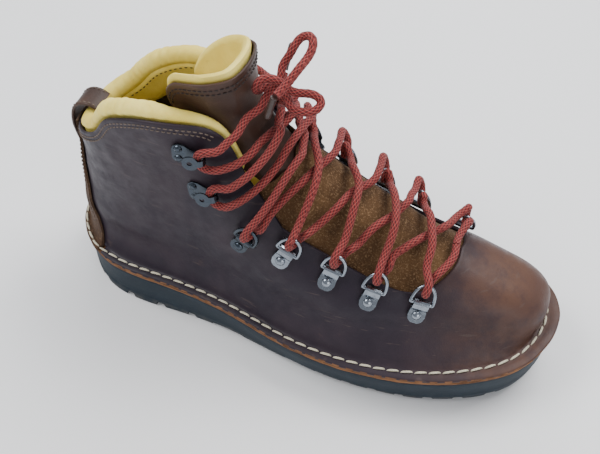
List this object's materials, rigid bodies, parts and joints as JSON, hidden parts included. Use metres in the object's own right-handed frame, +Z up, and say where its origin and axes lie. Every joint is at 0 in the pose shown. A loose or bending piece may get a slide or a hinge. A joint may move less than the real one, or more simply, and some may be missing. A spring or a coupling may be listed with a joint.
{
  "type": "mountaineering boot",
  "caption": "Right high-top mountaineering boot: stitched-down leather upper, lugged rubber sole, padded collar and tongue, D-ring and hook lacing with a tied lace.",
  "frame": {"origin": "on the flat part of the tread, where the boot stands, near mid length", "axes": "+X toward the toe, -Y toward the outer (lateral) side, +Z up from the ground"},
  "size_m": [0.303, 0.1126, 0.1939],
  "materials": {
    "outsole_rubber": "matte, moulded",
    "edge_leather": "rough cut edge, tan",
    "insole_board_fibre": "fibre board",
    "footbed_foam": "foam",
    "shank_steel": "rolled",
    "upper_leather": "oiled, satin",
    "tongue_leather": "smooth, satin",
    "rough_out_leather": "rough side out",
    "suede": "napped",
    "yellow_leather": "soft, satin",
    "stiffener_board": "thermoplastic board",
    "welt_thread_cotton": "waxed thread",
    "bright_nickel": "bright nickel plate",
    "gunmetal": "dark plated",
    "lace_braid": "round braid",
    "aglet_plastic": "gloss"
  },
  "bodies": {
    "boot": {"outsole": "outsole_rubber", "leather_midsole": "edge_leather", "insole_board": "insole_board_fibre", "footbed": "footbed_foam", "shank": "shank_steel", "upper": "upper_leather", "heel_strip": "rough_out_leather", "toe_puff": "stiffener_board", "heel_counter": "stiffener_board", "lining": "yellow_leather", "collar_padding": "yellow_leather", "tongue_outer": "tongue_leather", "tongue_lining": "yellow_leather", "vamp_cover": "suede", "gusset_lateral": "yellow_leather", "gusset_medial": "yellow_leather", "pull_loop": "rough_out_leather", "welt_thread": "welt_thread_cotton", "d_ring_clip_lateral_1": "bright_nickel", "d_ring_clip_lateral_2": "bright_nickel", "d_ring_clip_lateral_3": "bright_nickel", "d_ring_clip_lateral_4": "bright_nickel", "d_ring_clip_lateral_5": "gunmetal", "d_ring_clip_medial_1": "bright_nickel", "d_ring_clip_medial_2": "bright_nickel", "d_ring_clip_medial_3": "bright_nickel", "d_ring_clip_medial_4": "bright_nickel", "d_ring_clip_medial_5": "gunmetal", "clip_rivet_lateral_1": "bright_nickel", "clip_rivet_lateral_2": "bright_nickel", "clip_rivet_lateral_3": "bright_nickel", "clip_rivet_lateral_4": "bright_nickel", "clip_rivet_lateral_5": "gunmetal", "clip_rivet_medial_1": "bright_nickel", "clip_rivet_medial_2": "bright_nickel", "clip_rivet_medial_3": "bright_nickel", "clip_rivet_medial_4": "bright_nickel", "clip_rivet_medial_5": "gunmetal", "lace_hook_lateral_6": "gunmetal", "lace_hook_lateral_7": "gunmetal", "lace_hook_medial_6": "gunmetal", "lace_hook_medial_7": "gunmetal", "lace_near_half": "lace_braid", "lace_far_half": "lace_braid", "aglet_near": "aglet_plastic", "aglet_far": "aglet_plastic"},
    "ring_lateral_1": {"d_ring_lateral_1": "bright_nickel"},
    "ring_lateral_2": {"d_ring_lateral_2": "bright_nickel"},
    "ring_lateral_3": {"d_ring_lateral_3": "bright_nickel"},
    "ring_lateral_4": {"d_ring_lateral_4": "bright_nickel"},
    "ring_lateral_5": {"d_ring_lateral_5": "gunmetal"},
    "ring_medial_1": {"d_ring_medial_1": "bright_nickel"},
    "ring_medial_2": {"d_ring_medial_2": "bright_nickel"},
    "ring_medial_3": {"d_ring_medial_3": "bright_nickel"},
    "ring_medial_4": {"d_ring_medial_4": "bright_nickel"},
    "ring_medial_5": {"d_ring_medial_5": "gunmetal"}
  },
  "joints": [
    {"name": "ring_swing_lateral_1", "type": "hinge", "parent": "boot", "child": "ring_lateral_1", "pos_m": [0.07666, -0.02771, 0.0711], "axis": [0.9583, 0.1654, -0.2332], "range_deg": [-4, 8], "deforming": ["lace_near_half"]},
    {"name": "ring_swing_lateral_2", "type": "hinge", "parent": "boot", "child": "ring_lateral_2", "pos_m": [0.05035, -0.03161, 0.07589], "axis": [0.9625, 0.0785, -0.2595], "range_deg": [-4, 8], "deforming": ["lace_far_half"]},
    {"name": "ring_swing_lateral_3", "type": "hinge", "parent": "boot", "child": "ring_lateral_3", "pos_m": [0.02687, -0.03209, 0.08389], "axis": [0.9605, 0.0199, -0.2776], "range_deg": [-4, 8], "deforming": ["lace_near_half"]},
    {"name": "ring_swing_lateral_4", "type": "hinge", "parent": "boot", "child": "ring_lateral_4", "pos_m": [0.00162, -0.03414, 0.09193], "axis": [0.9131, -0.0689, -0.4018], "range_deg": [-4, 8], "deforming": ["lace_far_half"]},
    {"name": "ring_swing_lateral_5", "type": "hinge", "parent": "boot", "child": "ring_lateral_5", "pos_m": [-0.02244, -0.03589, 0.0939], "axis": [0.8719, -0.1057, -0.4782], "range_deg": [-4, 8], "deforming": ["lace_near_half"]},
    {"name": "ring_swing_medial_1", "type": "hinge", "parent": "boot", "child": "ring_medial_1", "pos_m": [0.08496, 0.03322, 0.07213], "axis": [-0.9794, 0.0418, 0.1975], "range_deg": [-4, 8], "deforming": ["lace_far_half"]},
    {"name": "ring_swing_medial_2", "type": "hinge", "parent": "boot", "child": "ring_medial_2", "pos_m": [0.05878, 0.03111, 0.08174], "axis": [-0.9743, 0.2243, -0.0203], "range_deg": [-4, 8], "deforming": ["lace_near_half"]},
    {"name": "ring_swing_medial_3", "type": "hinge", "parent": "boot", "child": "ring_medial_3", "pos_m": [0.03698, 0.03055, 0.09198], "axis": [-0.9612, 0.2681, -0.0653], "range_deg": [-4, 8], "deforming": ["lace_far_half"]},
    {"name": "ring_swing_medial_4", "type": "hinge", "parent": "boot", "child": "ring_medial_4", "pos_m": [0.01413, 0.03052, 0.10417], "axis": [-0.946, 0.2811, -0.1614], "range_deg": [-4, 8], "deforming": ["lace_near_half"]},
    {"name": "ring_swing_medial_5", "type": "hinge", "parent": "boot", "child": "ring_medial_5", "pos_m": [-0.00682, 0.02974, 0.11683], "axis": [-0.9281, 0.2989, -0.2219], "range_deg": [-4, 8], "deforming": ["lace_far_half"]}
  ]
}
